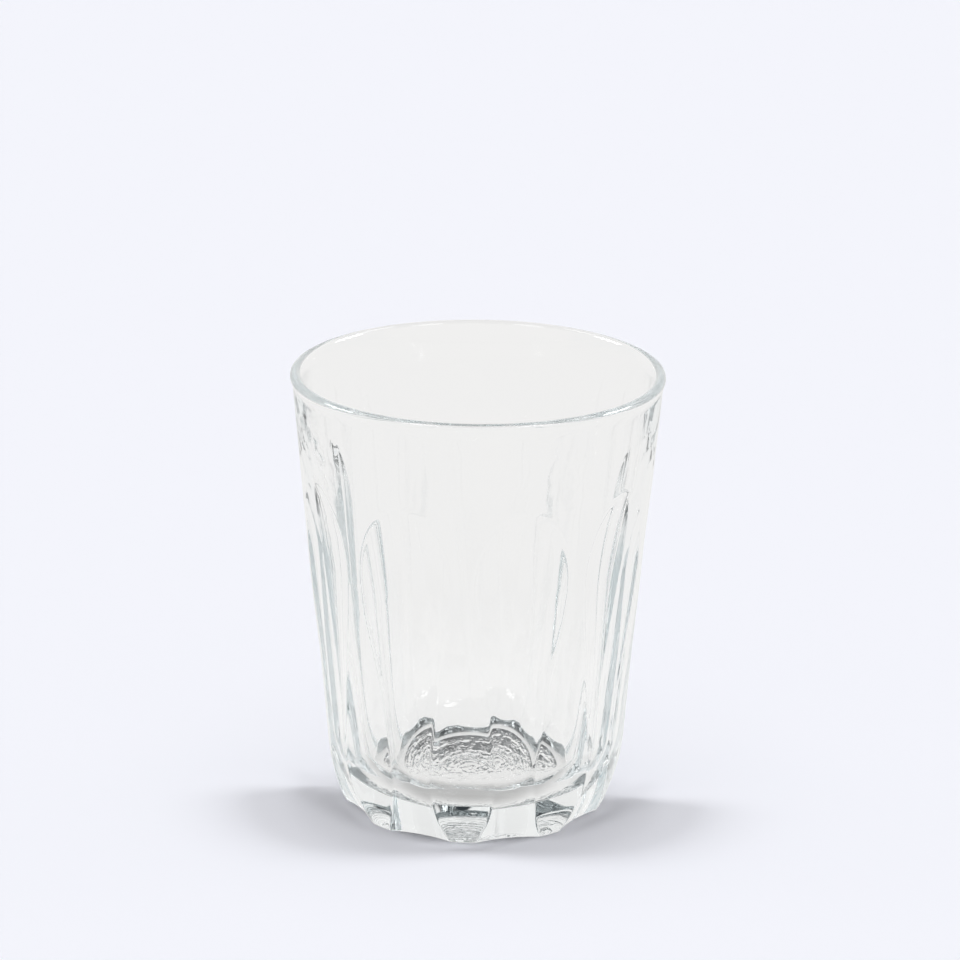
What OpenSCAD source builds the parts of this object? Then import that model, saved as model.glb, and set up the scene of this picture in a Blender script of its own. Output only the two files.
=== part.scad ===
// Juice glass, pressed in one piece: a rounded rim, a plain band, arched flutes with ribs
// between them, and a thick base whose heel is scalloped where the flutes run out below.
// The modules are the four zones of that one piece, parted on level planes.
// Millimetres, +Z up, origin at the middle of the underside, one rib facing -Y.

/* [Overall] */
// Height from the table to the top of the rim
height = 90; // [80:0.5:105]
// Outer diameter across the rim bead
rim_d = 74; // [68:0.5:82]

/* [Rim] */
// Thickness of the rounded bead along the rim
bead_d = 2.4; // [1.8:0.1:3]
// How far the bead stands out from the line of the wall
bead_proud = 0.35; // [0.1:0.05:0.6]
// Height of the rim zone, from the plain band to the top
rim_h = 5; // [4:0.5:8]

/* [Outer wall] */
// Height where the straight wall turns into the round heel
heel_h = 12.5; // [10:0.5:15]
// Outer diameter across the ribs at that height
heel_d = 60.1; // [57:0.1:63]

/* [Inside] */
// Thickness of the glass under the floor
floor_t = 6.5; // [5:0.5:8.5]
// Radius of the corner between the floor and the inner wall
corner_r = 7; // [4:0.5:9]
// Level thickness of the wall at the top of the heel, from rib to the line of the inside
heel_wall_t = 6.1; // [5.2:0.1:7]

/* [Flutes] */
// Number of flutes around the glass
flute_count = 9; // [8:1:10]
// Radius of a flute's hollow, seen from above
flute_round_r = 63; // [45:1:90]
// Height where the straight flute turns into its heel
flute_heel_h = 15; // [13:0.5:17]
// Radius of the flute's heel, seen from the side
flute_heel_r = 27; // [25:1:36]
// Depth of a flute at its heel, below the ribs
flute_low_depth = 0.55; // [0.4:0.05:0.9]
// Height where a flute starts to run out into its arch
flute_arch_h = 53.5; // [46:0.5:57]
// Depth of a flute at that height, below the ribs
flute_high_depth = 2.05; // [1.6:0.05:2.3]

/* [Underside] */
// Diameter of the dished middle, inside the ring that the glass stands on
dish_d = 29; // [24:1:34]
// Depth of the dish at its middle
dish_h = 1.8; // [1.2:0.1:2.2]

/* [Hidden] */
// Height of the base zone above the floor, so that the heel zone has no feather edge
base_lip_h = 1;
// Height of the heel zone above the round corner inside, so that the wall zone is a plain tube
heel_lip_h = 0.5;
// Overrun of every cut
overrun = 2;
// How far each arc reaches past the lines that it runs into, so that they cross and don't only touch
ease = 0.05;
// Share of the pitch that each hollowing body keeps to, so that no two of them meet
flute_span_share = 0.98;
$fn = 180;
glass_tint = [0.86, 0.92, 0.91, 0.45];

rim_z = height - rim_h;
bead_r = bead_d / 2;
bead_z = height - bead_r;
flute_pitch = 360 / flute_count;

// Straight outer wall: radius over the ribs at height z, and its lean from upright
wall_top_r = rim_d / 2 - bead_proud;
wall_slope = (wall_top_r - heel_d / 2) / (bead_z - heel_h);
wall_lean = atan(wall_slope);
function wall_r(z) = heel_d / 2 + wall_slope * (z - heel_h);

// The heel is part of a ball centred on the glass axis, which runs into the straight wall at heel_h
heel_ball_r = heel_d / 2 / cos(wall_lean) + ease;
heel_ball_z = heel_h + heel_d / 2 * wall_slope;
function heel_curve_r(z) = sqrt(heel_ball_r * heel_ball_r - (z - heel_ball_z) * (z - heel_ball_z));
function rib_r(z) = z < heel_h ? heel_curve_r(z) : wall_r(z);

// Straight inner wall: radius at height z, and its lean from upright
inner_top_r = rim_d / 2 - bead_d + ease;
inner_slope = (inner_top_r - heel_d / 2 + heel_wall_t) / (bead_z - heel_h);
inner_lean = atan(inner_slope);
function inner_r(z) = inner_top_r + inner_slope * (z - bead_z);

// Corner circle, which runs into the floor and into the inner wall
corner_mid_z = floor_t + corner_r - ease;
corner_mid_r = inner_r(corner_mid_z) - (corner_r - ease) / cos(inner_lean);
corner_top_z = corner_mid_z - corner_r * sin(inner_lean);
base_top_z = floor_t + base_lip_h;
heel_top_z = corner_top_z + heel_lip_h;

// Floor line of a flute: its radius from the glass axis at height z, and its lean
flute_low_r = rib_r(flute_heel_h) - flute_low_depth;
flute_high_r = rib_r(flute_arch_h) - flute_high_depth;
flute_slope = (flute_high_r - flute_low_r) / (flute_arch_h - flute_heel_h);
flute_lean = atan(flute_slope);
// A flute is hollowed by a ball-ended body turned about an upright axis this far from the glass axis
flute_axis_r = flute_low_r + flute_round_r;

// Sphere of the dished underside
dish_r = (dish_d * dish_d / 4 + dish_h * dish_h) / (2 * dish_h);

// Section of the outer form over the ribs, round heel and straight wall, from height z0 up to height z1
module outer_section(z0, z1) {
    intersection() {
        polygon([[0, 0], [wall_r(0), 0], [wall_r(bead_z), bead_z], [0, bead_z]]);
        union() {
            translate([0, heel_ball_z]) circle(heel_ball_r);
            translate([0, heel_h]) square([rim_d, height]);
        }
        translate([0, z0]) square([rim_d, z1 - z0]);
    }
}

// Section of the inside: flat floor, round corner, straight wall past the rim
module inner_section() {
    intersection() {
        polygon([[0, floor_t], [inner_r(floor_t), floor_t], [inner_r(height), height], [0, height]]);
        union() {
            square([corner_mid_r, height]);
            translate([corner_mid_r, corner_mid_z]) circle(corner_r);
            translate([0, corner_top_z]) square([rim_d, height]);
        }
    }
}

// Section of the turned body that hollows one flute: heel, straight run, ball end that draws the arch
module flute_section() {
    low_reach = flute_axis_r - flute_low_r;
    high_reach = flute_axis_r - flute_high_r;
    foot_reach = low_reach + flute_slope * (flute_heel_h + overrun);
    top_reach = high_reach - flute_slope * (rim_z - flute_arch_h);
    heel_mid_reach = low_reach + flute_heel_r * cos(flute_lean) - ease;
    heel_mid_z = flute_heel_h + flute_heel_r * sin(flute_lean);
    ball_mid_z = flute_arch_h - high_reach * flute_slope;
    intersection() {
        polygon([[0, -overrun], [foot_reach, -overrun], [top_reach, rim_z], [0, rim_z]]);
        union() {
            translate([0, ball_mid_z]) circle(high_reach / cos(flute_lean) + ease);
            translate([0, -overrun]) square([flute_axis_r, flute_arch_h + overrun]);
        }
    }
    difference() {
        translate([0, -overrun]) square([flute_axis_r, flute_heel_h + overrun]);
        translate([heel_mid_reach, heel_mid_z]) circle(flute_heel_r);
    }
}

// Hollowing body of the flute that faces +X, kept to its own share of the pitch
module flute() {
    half_span = flute_pitch * flute_span_share / 2;
    intersection() {
        translate([flute_axis_r, 0]) rotate(90) rotate_extrude() flute_section();
        translate([0, 0, -overrun]) linear_extrude(height)
            polygon([[0, 0], [rim_d, -rim_d * tan(half_span)], [rim_d, rim_d * tan(half_span)]]);
    }
}

// All the flutes, half a pitch from the rib that faces -Y
module flutes() {
    for (i = [0 : flute_count - 1])
        rotate((i + 1 / 2) * flute_pitch - 90) flute();
}

// Rounded rim: the top of the plain wall with the bead along its edge
module rim() {
    color(glass_tint) rotate_extrude() {
        difference() {
            outer_section(rim_z, bead_z);
            inner_section();
        }
        translate([rim_d / 2 - bead_r, bead_z]) circle(bead_r);
    }
}

// One fluted zone of the glass, from height z0 up to height z1
module fluted_zone(z0, z1) {
    difference() {
        rotate_extrude() difference() {
            outer_section(z0, z1);
            inner_section();
        }
        flutes();
    }
}

// Wall: the plain band above, the arched flutes and ribs below
module wall() {
    color(glass_tint) fluted_zone(heel_top_z, rim_z);
}

// Heel: the thick ring around the round corner inside, where the ribs are widest
module heel() {
    color(glass_tint) fluted_zone(base_top_z, heel_top_z);
}

// Base: the thick bottom with its scalloped edge, the floor inside and the dished underside
module base() {
    color(glass_tint) difference() {
        fluted_zone(0, base_top_z);
        translate([0, 0, dish_h - dish_r]) sphere(dish_r);
    }
}

rim();
wall();
heel();
base();
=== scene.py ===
import math

import bmesh
import bpy
from mathutils import Matrix, Vector


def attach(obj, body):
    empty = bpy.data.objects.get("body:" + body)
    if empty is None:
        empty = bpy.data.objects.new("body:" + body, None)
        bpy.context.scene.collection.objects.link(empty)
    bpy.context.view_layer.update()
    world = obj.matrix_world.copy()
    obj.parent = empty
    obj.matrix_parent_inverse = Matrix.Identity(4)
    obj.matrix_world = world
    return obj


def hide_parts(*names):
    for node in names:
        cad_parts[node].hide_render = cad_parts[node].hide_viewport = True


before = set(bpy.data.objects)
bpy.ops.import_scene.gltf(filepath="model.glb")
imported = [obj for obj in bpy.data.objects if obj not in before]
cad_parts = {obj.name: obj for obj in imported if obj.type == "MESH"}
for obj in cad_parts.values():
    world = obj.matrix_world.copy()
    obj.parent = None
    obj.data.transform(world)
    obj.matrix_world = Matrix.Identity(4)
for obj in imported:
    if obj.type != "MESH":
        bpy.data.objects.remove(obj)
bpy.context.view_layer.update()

# Sizes that the glass shares with the solids, in millimetres
MM = 0.001
HEIGHT = 90.0
RIM_R = 37.0
BEAD_PROUD = 0.35
HEEL_H = 12.5
HEEL_TOP_R = 30.05
HEEL_WALL = 6.1
FLOOR_Z = 6.5
DISH_EDGE_R = 14.5
DISH_H = 1.8
FLUTES = 9
FLUTE_ROUND = 63.0
FLUTE_HEEL_H = 15.0
FLUTE_HEEL_R = 27.0
FLUTE_LOW_DEPTH = 0.55
FLUTE_ARCH_H = 53.5
FLUTE_HIGH_DEPTH = 2.05

# Finer sizes of the dressed glass: a slim bead, rounded edges and flutes hollowed tighter at the heel
BEAD_R = 1.0
NECK_R = 8.0
FOOT_ROUND = 0.8
CORNER_R = 10.5
FLUTE_FOOT_ROUND = 25.0

# Rounding of the rib edges, crisp at the heel and softer on the wall
HEEL_SOFTNESS = 0.1
WALL_SOFTNESS = 0.15
SOFTER_FROM_H = 22.0
SOFTER_TO_H = 45.0

# Share of its round that a rib loses, half the angle it does so over, and the heights it comes and goes at
RIB_FLAT = 0.7
RIB_FLAT_HALF = 0.218
RIB_FLAT_FULL_H = 6.0
RIB_FLAT_FADE_H = 25.0
RIB_FLAT_END_H = 50.0

# Parts that each stretch of the section is drawn in, with the finest rows up to the top of the arches
DISH_PARTS = 10
STANDING_RING_PARTS = 5
FOOT_PARTS = 6
HEEL_PARTS = 24
LOW_WALL_PARTS = 18
ARCH_PARTS = 42
ARCH_ROWS_TOP = 73.0
BAND_PARTS = 4
NECK_PARTS = 5
BEAD_PARTS = 16
INSIDE_PARTS = 10
CORNER_PARTS = 14
FLOOR_PARTS = 6

# Columns of the mesh in half a flute, closest together where the rib edges run
HALF_PITCH = math.pi / FLUTES
FLUTE_COLUMNS = 8
EDGE_COLUMNS = 20
RIB_COLUMNS = 4
EDGE_FROM = math.radians(7.5)
EDGE_TO = math.radians(17.5)
HALF_COLUMNS = FLUTE_COLUMNS + EDGE_COLUMNS + RIB_COLUMNS
MERGE_REACH = 0.000002

# Lines and circles that the section is drawn with
BEAD_Z = HEIGHT - BEAD_R
BEAD_MID_R = RIM_R - BEAD_R
WALL_TOP_R = RIM_R - BEAD_PROUD
WALL_SLOPE = (WALL_TOP_R - HEEL_TOP_R) / (BEAD_Z - HEEL_H)
WALL_LEAN = math.atan(WALL_SLOPE)
HEEL_BALL_R = HEEL_TOP_R / math.cos(WALL_LEAN)
HEEL_BALL_Z = HEEL_H + HEEL_TOP_R * WALL_SLOPE
INNER_TOP_R = RIM_R - 2 * BEAD_R
INNER_SLOPE = (INNER_TOP_R - HEEL_TOP_R + HEEL_WALL) / (BEAD_Z - HEEL_H)
INNER_LEAN = math.atan(INNER_SLOPE)
CORNER_Z = FLOOR_Z + CORNER_R

# Heights that part the underside from the inside, and the flutes from the plain rim
UNDERSIDE_TOP = FLOOR_Z - 0.5
FLUTES_TOP = BEAD_Z - 4
AXIS_R = 0.01


def wall_r(z):
    """Radius of the straight outer wall over the ribs."""
    return HEEL_TOP_R + WALL_SLOPE * (z - HEEL_H)


def inner_r(z):
    """Radius of the straight inner wall."""
    return INNER_TOP_R + INNER_SLOPE * (z - BEAD_Z)


def rib_r(z):
    """Radius over the ribs, round heel below and straight wall above."""
    if z < HEEL_H:
        return math.sqrt(HEEL_BALL_R ** 2 - (z - HEEL_BALL_Z) ** 2)
    return wall_r(z)


CORNER_MID_R = inner_r(CORNER_Z) - CORNER_R / math.cos(INNER_LEAN)
FLUTE_LOW_R = rib_r(FLUTE_HEEL_H) - FLUTE_LOW_DEPTH
FLUTE_HIGH_R = rib_r(FLUTE_ARCH_H) - FLUTE_HIGH_DEPTH
FLUTE_RUN = FLUTE_ARCH_H - FLUTE_HEEL_H
FLUTE_SLOPE = (FLUTE_HIGH_R - FLUTE_LOW_R) / FLUTE_RUN
FLUTE_LEAN = math.atan(FLUTE_SLOPE)
FLUTE_AXIS_R = FLUTE_LOW_R + FLUTE_ROUND


def flute_r(z):
    """Radius of a flute's floor along its middle: heel arc, straight run, round end."""
    if z < FLUTE_HEEL_H:
        mid_r = FLUTE_LOW_R - FLUTE_HEEL_R * math.cos(FLUTE_LEAN)
        mid_z = FLUTE_HEEL_H + FLUTE_HEEL_R * math.sin(FLUTE_LEAN)
        return mid_r + math.sqrt(FLUTE_HEEL_R ** 2 - (z - mid_z) ** 2)
    if z < FLUTE_ARCH_H:
        return FLUTE_LOW_R + FLUTE_SLOPE * (z - FLUTE_HEEL_H)
    high_reach = FLUTE_AXIS_R - FLUTE_HIGH_R
    ball_r = high_reach / math.cos(FLUTE_LEAN)
    ball_z = FLUTE_ARCH_H - high_reach * FLUTE_SLOPE
    return FLUTE_AXIS_R - math.sqrt(ball_r ** 2 - (z - ball_z) ** 2)


def softly_less(a, b, softness):
    """The smaller of two radii, with the edge between them rounded."""
    share = min(1.0, max(0.0, 0.5 + 0.5 * (b - a) / softness))
    return b * (1 - share) + a * share - softness * share * (1 - share)


def easing(x, low, high):
    """0 below low, 1 above high, and a smooth run between."""
    t = min(1.0, max(0.0, (x - low) / (high - low)))
    return t * t * (3 - 2 * t)


def flute_depth(z, off_middle):
    """How far the outside lies below the round of the ribs, at an angle off the flute's middle."""
    reach = FLUTE_FOOT_ROUND
    if z > FLUTE_ARCH_H:
        reach = FLUTE_ROUND + FLUTE_HIGH_R - flute_r(z)
    elif z > FLUTE_HEEL_H:
        reach += (FLUTE_ROUND - FLUTE_FOOT_ROUND) * (z - FLUTE_HEEL_H) / FLUTE_RUN
    axis_r = flute_r(z) + reach
    across = axis_r * math.sin(off_middle)
    off_rib = HALF_PITCH - off_middle
    fade = 1 - easing(z, RIB_FLAT_FADE_H, RIB_FLAT_END_H)
    flat = RIB_FLAT * easing(z, 0, RIB_FLAT_FULL_H) * fade
    flat_r = rib_r(z) * (1 - flat * max(0.0, RIB_FLAT_HALF ** 2 - off_rib ** 2) / 2)
    if reach <= abs(across):
        return rib_r(z) - flat_r
    hollow_r = axis_r * math.cos(off_middle) - math.sqrt(reach ** 2 - across ** 2)
    softer = easing(z, SOFTER_FROM_H, SOFTER_TO_H)
    softness = HEEL_SOFTNESS + (WALL_SOFTNESS - HEEL_SOFTNESS) * softer
    return rib_r(z) - softly_less(flat_r, hollow_r, softness)


def straight(bm, last, r, z, parts):
    """Draws the section on in a straight line of so many parts."""
    start = last.co.copy()
    end = Vector((r, 0, z)) * MM
    for i in range(parts):
        last = bmesh.ops.extrude_vert_indiv(bm, verts=[last])["verts"][0]
        last.co = start.lerp(end, (i + 1) / parts)
    return last


def arc(bm, last, mid_r, mid_z, turn, parts):
    """Draws the section on in an arc, counter-clockwise seen with the axis on the left."""
    made = bmesh.ops.spin(
        bm, geom=[last], cent=Vector((mid_r, 0, mid_z)) * MM, axis=(0, -1, 0), angle=turn, steps=parts
    )
    return [v for v in made["geom_last"] if isinstance(v, bmesh.types.BMVert)][0]


def draw_section(bm):
    """Draws the section from under the middle, up the outside, over the rim and down to the floor."""
    point = bm.verts.new(Vector((0, 0, DISH_H)) * MM)
    dish_curve_r = (DISH_EDGE_R ** 2 + DISH_H ** 2) / (2 * DISH_H)
    dish_turn = -math.asin(DISH_EDGE_R / dish_curve_r)
    point = arc(bm, point, 0, DISH_H - dish_curve_r, dish_turn, DISH_PARTS)
    foot_drop = HEEL_BALL_Z - FOOT_ROUND
    foot_r = math.sqrt((HEEL_BALL_R - FOOT_ROUND) ** 2 - foot_drop ** 2)
    point = straight(bm, point, foot_r, 0, STANDING_RING_PARTS)
    heel_from = math.asin(foot_drop / (HEEL_BALL_R - FOOT_ROUND))
    point = arc(bm, point, foot_r, FOOT_ROUND, math.pi / 2 - heel_from, FOOT_PARTS)
    point = arc(bm, point, 0, HEEL_BALL_Z, heel_from - WALL_LEAN, HEEL_PARTS)
    point = straight(bm, point, wall_r(FLUTE_ARCH_H), FLUTE_ARCH_H, LOW_WALL_PARTS)
    point = straight(bm, point, wall_r(ARCH_ROWS_TOP), ARCH_ROWS_TOP, ARCH_PARTS)
    # The neck is a hollow arc that meets the wall and the bead without a crease
    outside = Vector((math.cos(WALL_LEAN), -math.sin(WALL_LEAN)))
    along = Vector((math.sin(WALL_LEAN), math.cos(WALL_LEAN)))
    bead_mid = Vector((BEAD_MID_R, BEAD_Z))
    bead_in = (Vector((WALL_TOP_R, BEAD_Z)) - bead_mid).dot(outside)
    neck_run = math.sqrt((BEAD_R + NECK_R) ** 2 - (NECK_R + bead_in) ** 2)
    neck_foot = bead_mid + outside * bead_in - along * neck_run
    neck_mid = neck_foot + outside * NECK_R
    neck_turn = math.asin(neck_run / (BEAD_R + NECK_R))
    bead_turn = math.pi - INNER_LEAN + WALL_LEAN + neck_turn
    point = straight(bm, point, neck_foot.x, neck_foot.y, BAND_PARTS)
    point = arc(bm, point, neck_mid.x, neck_mid.y, -neck_turn, NECK_PARTS)
    point = arc(bm, point, BEAD_MID_R, BEAD_Z, bead_turn, BEAD_PARTS)
    corner_top_z = CORNER_Z - CORNER_R * math.sin(INNER_LEAN)
    point = straight(bm, point, inner_r(corner_top_z), corner_top_z, INSIDE_PARTS)
    point = arc(bm, point, CORNER_MID_R, CORNER_Z, INNER_LEAN - math.pi / 2, CORNER_PARTS)
    straight(bm, point, 0, FLOOR_Z, FLOOR_PARTS)
    return foot_r


def column_angle(turn):
    """Moves an even column to its place in its half flute, so that columns crowd at the rib edges."""
    evenly = turn / HALF_PITCH * HALF_COLUMNS
    if evenly <= FLUTE_COLUMNS:
        return EDGE_FROM * evenly / FLUTE_COLUMNS
    evenly -= FLUTE_COLUMNS
    if evenly <= EDGE_COLUMNS:
        return EDGE_FROM + (EDGE_TO - EDGE_FROM) * evenly / EDGE_COLUMNS
    return EDGE_TO + (HALF_PITCH - EDGE_TO) * (evenly - EDGE_COLUMNS) / RIB_COLUMNS


def carve_flutes(bm, foot_r):
    """Sinks the outside of the turned blank to the flutes, and draws the underside in with them."""
    depths = {}
    for v in bm.verts:
        r = math.hypot(v.co.x, v.co.y) / MM
        z = v.co.z / MM
        if r < AXIS_R:
            continue
        # The angle runs from the rib that faces -Y; the nearest flute's middle is half a pitch on
        angle = math.atan2(v.co.x, -v.co.y)
        flute = math.floor(angle / (2 * HALF_PITCH))
        middle = (2 * flute + 1) * HALF_PITCH
        side = 1 if angle >= middle else -1
        off_middle = column_angle(abs(angle - middle))
        angle = middle + side * off_middle
        if z < UNDERSIDE_TOP:
            share = min(1.0, max(0.0, (r - DISH_EDGE_R) / (foot_r - DISH_EDGE_R)))
        else:
            share = 1.0 if r > (inner_r(z) + wall_r(z)) / 2 else 0.0
        if share > 0 and z < FLUTES_TOP:
            # Every flute is alike, so each depth is worked out once
            spot = (round(max(z, 0.0), 3), round(off_middle, 5))
            if spot not in depths:
                depths[spot] = flute_depth(*spot)
            r -= share * depths[spot]
        v.co = Vector((r * math.sin(angle), -r * math.cos(angle), z)) * MM


def add_node(tree, kind, inputs=None, **settings):
    """Adds a node with its settings, and gives each of its inputs a value or a link."""
    node = tree.nodes.new(kind)
    for name, setting in settings.items():
        setattr(node, name, setting)
    for name, value in (inputs or {}).items():
        if isinstance(value, bpy.types.NodeSocket):
            tree.links.new(value, node.inputs[name])
        else:
            node.inputs[name].default_value = value
    return node


def work_out(tree, operation, *values):
    """The result of one sum on values and sockets."""
    return add_node(tree, "ShaderNodeMath", dict(enumerate(values)), operation=operation).outputs[0]


def spread(tree, value, low, high, to_low=0.0, to_high=1.0, run="SMOOTHSTEP"):
    """Runs from one value to another while the given one goes from low to high."""
    ends = {"From Min": low, "From Max": high, "To Min": to_low, "To Max": to_high}
    return add_node(
        tree, "ShaderNodeMapRange", {"Value": value, **ends}, interpolation_type=run
    ).outputs["Result"]


def noise(tree, place, scale, detail, **more):
    """A cloudy value from 0 to 1 at each place on the glass."""
    inputs = {"Vector": place, "Scale": scale, "Detail": detail, **more}
    return add_node(tree, "ShaderNodeTexNoise", inputs).outputs["Fac"]


# Clear glass, with the faint colour that it takes on in its depth
GLASS_IOR = 1.51
GLASS_DEPTH_COLOUR = (0.50, 0.70, 0.75, 1)
GLASS_DEPTH = 2.5

# Ripples under the base, in metres: their height, and the heights and radii that they fade out between
RIPPLE_HEIGHT = 0.0007
RIPPLE_SCALE = 320.0
RIPPLE_DETAIL = 2.0
RIPPLE_CURL = 0.6
RIPPLE_TOP = (0.0030, 0.0020)
RIPPLE_EDGE = (0.0185, 0.0160)
RING_SCALE = 170.0
RING_SHARE = 0.085
RING_CURL = 4.0
RING_DETAIL = 2.0

# Soft waves all over the skin, and patches of closer waves on the upper wall, as shares of that height
SKIN_WAVE_SCALE = 70.0
SKIN_WAVE_SHARE = 0.05
CHILL_SCALE = 230.0
CHILL_DETAIL = 1.0
CHILL_SHARE = 0.16
CHILL_PATCH_SCALE = 45.0
CHILL_PATCH = (0.52, 0.66)
CHILL_BOTTOM = (0.042, 0.054)
CHILL_TOP = (0.086, 0.080)


def under_ripple(tree, place, height):
    """Ripples and rings on the dished underside, where the glass left the mould."""
    low = spread(tree, height, *RIPPLE_TOP, run="LINEAR")
    level = add_node(tree, "ShaderNodeVectorMath", {0: place, 1: (1, 1, 0)}, operation="MULTIPLY")
    away = add_node(tree, "ShaderNodeVectorMath", {0: level.outputs["Vector"]}, operation="LENGTH")
    inside = spread(tree, away.outputs["Value"], *RIPPLE_EDGE, run="LINEAR")
    under = work_out(tree, "MULTIPLY", low, inside)
    ripple = noise(tree, place, RIPPLE_SCALE, RIPPLE_DETAIL, Distortion=RIPPLE_CURL)
    rings = add_node(tree, "ShaderNodeTexWave", {
        "Vector": place, "Scale": RING_SCALE, "Distortion": RING_CURL, "Detail": RING_DETAIL,
    }, wave_type="RINGS", rings_direction="Z")
    both = work_out(tree, "MULTIPLY_ADD", rings.outputs["Fac"], RING_SHARE, ripple)
    return work_out(tree, "MULTIPLY", both, under)


def chill_marks(tree, place, height):
    """Patches of close waves on the upper wall, where the gob cooled against the mould."""
    band = work_out(
        tree, "MULTIPLY", spread(tree, height, *CHILL_BOTTOM), spread(tree, height, *CHILL_TOP)
    )
    patches = spread(tree, noise(tree, place, CHILL_PATCH_SCALE, 0.0), *CHILL_PATCH)
    chilled = work_out(tree, "MULTIPLY", band, patches)
    return work_out(tree, "MULTIPLY", noise(tree, place, CHILL_SCALE, CHILL_DETAIL), chilled)


def glass_material(name, lets_lamps):
    """Clear pressed glass; one kind of it throws a shadow, the other lets lamp light pass."""
    mat = bpy.data.materials.new(name)
    mat.use_nodes = True
    tree = mat.node_tree
    output = tree.nodes["Material Output"]
    shader = tree.nodes["Principled BSDF"]
    shader.inputs["Base Color"].default_value = (1, 1, 1, 1)
    shader.inputs["Roughness"].default_value = 0.0
    shader.inputs["IOR"].default_value = GLASS_IOR
    shader.inputs["Transmission Weight"].default_value = 1.0
    place = add_node(tree, "ShaderNodeTexCoord").outputs["Object"]
    height = add_node(tree, "ShaderNodeSeparateXYZ", {"Vector": place}).outputs["Z"]
    wave = noise(tree, place, SKIN_WAVE_SCALE, 0.0)
    skin = work_out(tree, "MULTIPLY_ADD", wave, SKIN_WAVE_SHARE, under_ripple(tree, place, height))
    skin = work_out(tree, "MULTIPLY_ADD", chill_marks(tree, place, height), CHILL_SHARE, skin)
    bump = add_node(tree, "ShaderNodeBump", {"Strength": 1.0, "Distance": RIPPLE_HEIGHT, "Height": skin})
    tree.links.new(bump.outputs["Normal"], shader.inputs["Normal"])
    depth = add_node(tree, "ShaderNodeVolumeAbsorption", {
        "Color": GLASS_DEPTH_COLOUR, "Density": GLASS_DEPTH,
    })
    tree.links.new(depth.outputs["Volume"], output.inputs["Volume"])
    if lets_lamps:
        path = add_node(tree, "ShaderNodeLightPath")
        clear = add_node(tree, "ShaderNodeBsdfTransparent")
        mix = add_node(tree, "ShaderNodeMixShader", {
            "Fac": path.outputs["Is Shadow Ray"], 1: shader.outputs["BSDF"], 2: clear.outputs["BSDF"],
        })
        tree.links.new(mix.outputs["Shader"], output.inputs["Surface"])
    return mat


# Heights that the shadow is thrown between, and how far back the side that throws it reaches
SHADOW_LOW = 3.0
SHADOW_HIGH = 12.0
SHADOW_BACK = 2.2


def make_glass():
    """One seamless glass, turned from its section and fluted."""
    bm = bmesh.new()
    foot_r = draw_section(bm)
    bmesh.ops.spin(
        bm, geom=bm.verts[:] + bm.edges[:], cent=(0, 0, 0), axis=(0, 0, 1), angle=2 * math.pi,
        steps=2 * FLUTES * HALF_COLUMNS, use_merge=True,
    )
    # The section starts on +X, so the blank is turned until a column lies on the rib that faces -Y
    quarter_back = Matrix.Rotation(-math.pi / 2, 3, "Z")
    bmesh.ops.rotate(bm, verts=bm.verts, cent=(0, 0, 0), matrix=quarter_back)
    bmesh.ops.remove_doubles(bm, verts=bm.verts, dist=MERGE_REACH)
    bmesh.ops.recalc_face_normals(bm, faces=bm.faces)
    carve_flutes(bm, foot_r)
    for face in bm.faces:
        face.smooth = True
        # Only the near side of the thick base throws a shadow; lamp light passes the rest
        middle = face.calc_center_median() / MM
        shading = SHADOW_LOW < middle.z < SHADOW_HIGH and middle.y < SHADOW_BACK
        face.material_index = 0 if shading else 1
    mesh = bpy.data.meshes.new("glass")
    bm.to_mesh(mesh)
    bm.free()
    glass = bpy.data.objects.new("glass", mesh)
    bpy.context.scene.collection.objects.link(glass)
    mesh.materials.append(glass_material("clear_glass_of_the_base", False))
    mesh.materials.append(glass_material("clear_glass_of_the_wall", True))
    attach(glass, "root")
    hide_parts("rim", "wall", "heel", "base")


# Camera: stands a little to the right of the rib that faces -Y, looks down on the rim
CAMERA_AZIMUTH = math.radians(4.5)
CAMERA_REACH = 0.75
CAMERA_HEIGHT = 0.313
CAMERA_PITCH = math.radians(18.15)
CAMERA_ROLL = math.radians(0.58)
CAMERA_LENS = 148.95
CAMERA_SENSOR = 36
CAMERA_SHIFT = 0.0032
CAMERA_NEAR = 0.01


def way_round(azimuth):
    """Level direction at an angle round the glass, counted from -Y towards +X."""
    return Vector((math.sin(azimuth), -math.cos(azimuth), 0))


def make_camera():
    """Camera of the photo, with a long lens."""
    data = bpy.data.cameras.new("camera")
    data.sensor_width = CAMERA_SENSOR
    data.lens = CAMERA_LENS
    data.shift_x = CAMERA_SHIFT
    data.clip_start = CAMERA_NEAR
    camera = bpy.data.objects.new("camera", data)
    camera.location = way_round(CAMERA_AZIMUTH) * CAMERA_REACH + Vector((0, 0, CAMERA_HEIGHT))
    turn = Matrix.Rotation(CAMERA_AZIMUTH, 4, "Z") @ Matrix.Rotation(math.pi / 2 - CAMERA_PITCH, 4, "X")
    camera.rotation_euler = (turn @ Matrix.Rotation(CAMERA_ROLL, 4, "Z")).to_euler()
    bpy.context.scene.collection.objects.link(camera)
    bpy.context.scene.camera = camera


# Table, in metres: its white by itself and as the glass shows it, and how much of that white counts
TABLE_HALF = 4.0
TABLE_DROP = 0.0002
TABLE_WHITE = (0.905, 0.913, 0.973, 1)
TABLE_IN_GLASS = (0.925, 0.92, 0.908, 1)
TABLE_IN_GLASS_SHARE = 0.92

# Painted shadow on the table as the glass shows it: share of that white in front of the glass, from where
# to where it comes up, and its share far away
TABLE_PAINTED_SHADOW_SHARE = 0.58
TABLE_PAINTED_SHADOW_SPAN = (-0.022, -0.008)
TABLE_FAR_SEEN = 0.94
TABLE_FAR = (0.05, 0.10)


def seen_in_glass(tree):
    """A value of 1 for what the glass shows by reflection or by looking through it, else 0."""
    path = add_node(tree, "ShaderNodeLightPath")
    return add_node(tree, "ShaderNodeMath", {
        0: path.outputs["Is Glossy Ray"], 1: path.outputs["Is Transmission Ray"],
    }, operation="ADD", use_clamp=True).outputs[0]


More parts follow.
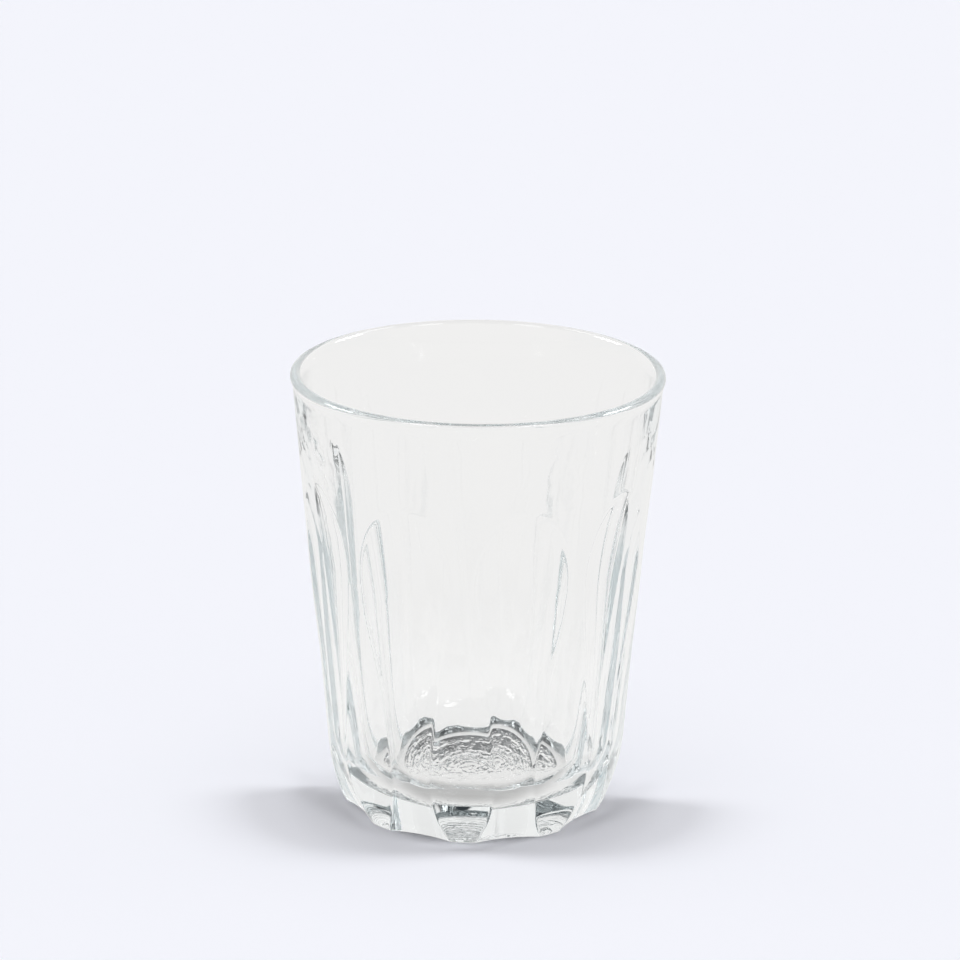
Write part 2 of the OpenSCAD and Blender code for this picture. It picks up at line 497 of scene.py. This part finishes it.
def table_material():
    """Pale and dull; the glass shows it even, but with a painted shadow, darker, in front of the glass."""
    mat = bpy.data.materials.new("pale_table")
    mat.use_nodes = True
    tree = mat.node_tree
    shade = tree.nodes["Principled BSDF"]
    shade.inputs["Base Color"].default_value = TABLE_WHITE
    shade.inputs["Roughness"].default_value = 1.0
    shade.inputs["Specular IOR Level"].default_value = 0.0
    place = add_node(tree, "ShaderNodeTexCoord").outputs["Object"]
    back = add_node(tree, "ShaderNodeSeparateXYZ", {"Vector": place}).outputs["Y"]
    away = add_node(tree, "ShaderNodeVectorMath", {0: place}, operation="LENGTH").outputs["Value"]
    # Painted shadow: what the glass shows of the table is darkened in front of the glass, where the
    # glass's shadow falls
    painted_shadow = spread(tree, back, *TABLE_PAINTED_SHADOW_SPAN, to_low=TABLE_PAINTED_SHADOW_SHARE)
    strength = spread(tree, away, *TABLE_FAR, to_low=painted_shadow, to_high=TABLE_FAR_SEEN)
    white = add_node(tree, "ShaderNodeEmission", {"Color": TABLE_IN_GLASS, "Strength": strength})
    mix = add_node(tree, "ShaderNodeMixShader", {
        "Fac": work_out(tree, "MULTIPLY", seen_in_glass(tree), TABLE_IN_GLASS_SHARE),
        1: shade.outputs["BSDF"],
        2: white.outputs["Emission"],
    })
    tree.links.new(mix.outputs["Shader"], tree.nodes["Material Output"].inputs["Surface"])
    return mat


def make_table():
    """Plain pale table that carries the shadow."""
    bm = bmesh.new()
    bmesh.ops.create_grid(bm, x_segments=1, y_segments=1, size=TABLE_HALF)
    bmesh.ops.translate(bm, verts=bm.verts, vec=(0, 0, -TABLE_DROP))
    mesh = bpy.data.meshes.new("table")
    bm.to_mesh(mesh)
    bm.free()
    table = bpy.data.objects.new("table", mesh)
    bpy.context.scene.collection.objects.link(table)
    mesh.materials.append(table_material())


# Room: the little light that it gives, and the backdrop that the camera sees
ROOM_LIGHT = 0.02
BACKDROP = (0.90, 0.905, 0.965, 1)

# What the glass sees of the room, by height of the line of sight from -1 to 1
ROOM_IN_GLASS = (
    (-1.0, (0.94, 0.93, 0.92, 1)),
    (0.60, (0.94, 0.93, 0.92, 1)),
    (0.72, (0.01, 0.018, 0.024, 1)),
)

# Grey-blue card on each side, by how far sideways the line of sight goes
SIDE_CARD = (0.74, 0.77, 0.79, 1)
SIDE_CARD_EDGE = (0.82, 0.92)


def room_in_glass(tree):
    """Colour of the room as the glass sees it: pale all round, dark overhead, a card on each side."""
    where = add_node(tree, "ShaderNodeTexCoord").outputs["Generated"]
    height = add_node(tree, "ShaderNodeSeparateXYZ", {"Vector": where}).outputs["Z"]
    rise = spread(tree, height, -1.0, 1.0, run="LINEAR")
    room = add_node(tree, "ShaderNodeValToRGB", {"Fac": rise})
    room.color_ramp.interpolation = "EASE"
    stops = room.color_ramp.elements
    stops.remove(stops[1])
    stops[0].color = ROOM_IN_GLASS[0][1]
    for z, colour in ROOM_IN_GLASS[1:]:
        stops.new((z + 1) / 2).color = colour
    to_the_right = way_round(CAMERA_AZIMUTH + math.pi / 2)
    across = add_node(tree, "ShaderNodeVectorMath", {0: where, 1: to_the_right}, operation="DOT_PRODUCT")
    sideways = work_out(tree, "ABSOLUTE", across.outputs["Value"])
    return add_node(tree, "ShaderNodeMixRGB", {
        "Fac": spread(tree, sideways, *SIDE_CARD_EDGE),
        "Color1": room.outputs["Color"],
        "Color2": SIDE_CARD,
    }).outputs["Color"]


def make_room():
    """Room that lights little, that the glass sees in its own way and the camera as a pale backdrop."""
    world = bpy.data.worlds.new("studio")
    bpy.context.scene.world = world
    world.use_nodes = True
    tree = world.node_tree
    light = tree.nodes["Background"]
    light.inputs["Color"].default_value = (1, 1, 1, 1)
    light.inputs["Strength"].default_value = ROOM_LIGHT
    seen = add_node(tree, "ShaderNodeBackground", {"Color": room_in_glass(tree)})
    backdrop = add_node(tree, "ShaderNodeBackground", {"Color": BACKDROP})
    mix = add_node(tree, "ShaderNodeMixShader", {
        "Fac": seen_in_glass(tree), 1: light.outputs["Background"], 2: seen.outputs["Background"],
    })
    path = add_node(tree, "ShaderNodeLightPath")
    shown = add_node(tree, "ShaderNodeMixShader", {
        "Fac": path.outputs["Is Camera Ray"], 1: mix.outputs["Shader"], 2: backdrop.outputs["Background"],
    })
    tree.links.new(shown.outputs["Shader"], tree.nodes["World Output"].inputs["Surface"])


# Lamps: way round from the camera, height and softness in degrees, share of the light,
# and whether the glass mirrors the lamp and shows it by looking through
LAMPS = (
    (42, 48, 18, 0.085, True, True),
    (-42, 48, 18, 0.085, True, True),
    (112, 55, 18, 0.075, True, False),
    (-112, 55, 18, 0.075, True, False),
    (102, 29, 22, 0.225, True, False),
    (-102, 29, 22, 0.225, True, False),
    (0, 86, 53, 0.21, False, False),
)


def make_lamps():
    """Soft lamps in pairs at the front, at the sides and behind, and one overhead."""
    for turn, rise, softness, share, mirrored, seen_through in LAMPS:
        elevation = math.radians(rise)
        data = bpy.data.lights.new("lamp", "SUN")
        data.angle = math.radians(softness)
        data.energy = share * math.pi / math.sin(elevation)
        lamp = bpy.data.objects.new("lamp", data)
        way = way_round(math.radians(turn) + CAMERA_AZIMUTH) * math.cos(elevation)
        way.z = math.sin(elevation)
        lamp.location = way
        lamp.rotation_euler = way.to_track_quat("Z", "Y").to_euler()
        lamp.visible_glossy = mirrored
        lamp.visible_transmission = seen_through
        bpy.context.scene.collection.objects.link(lamp)


# Times that light may bounce, so that it gets through the thick base
LIGHT_BOUNCES = 32


def set_light_paths():
    """Long paths for glass, no bright specks from focused light, and plain colours."""
    scene = bpy.context.scene
    scene.cycles.max_bounces = LIGHT_BOUNCES
    scene.cycles.glossy_bounces = LIGHT_BOUNCES
    scene.cycles.transmission_bounces = LIGHT_BOUNCES
    scene.cycles.caustics_refractive = False
    scene.cycles.caustics_reflective = False
    scene.view_settings.view_transform = "Standard"


make_glass()
make_camera()
make_table()
make_room()
make_lamps()
set_light_paths()
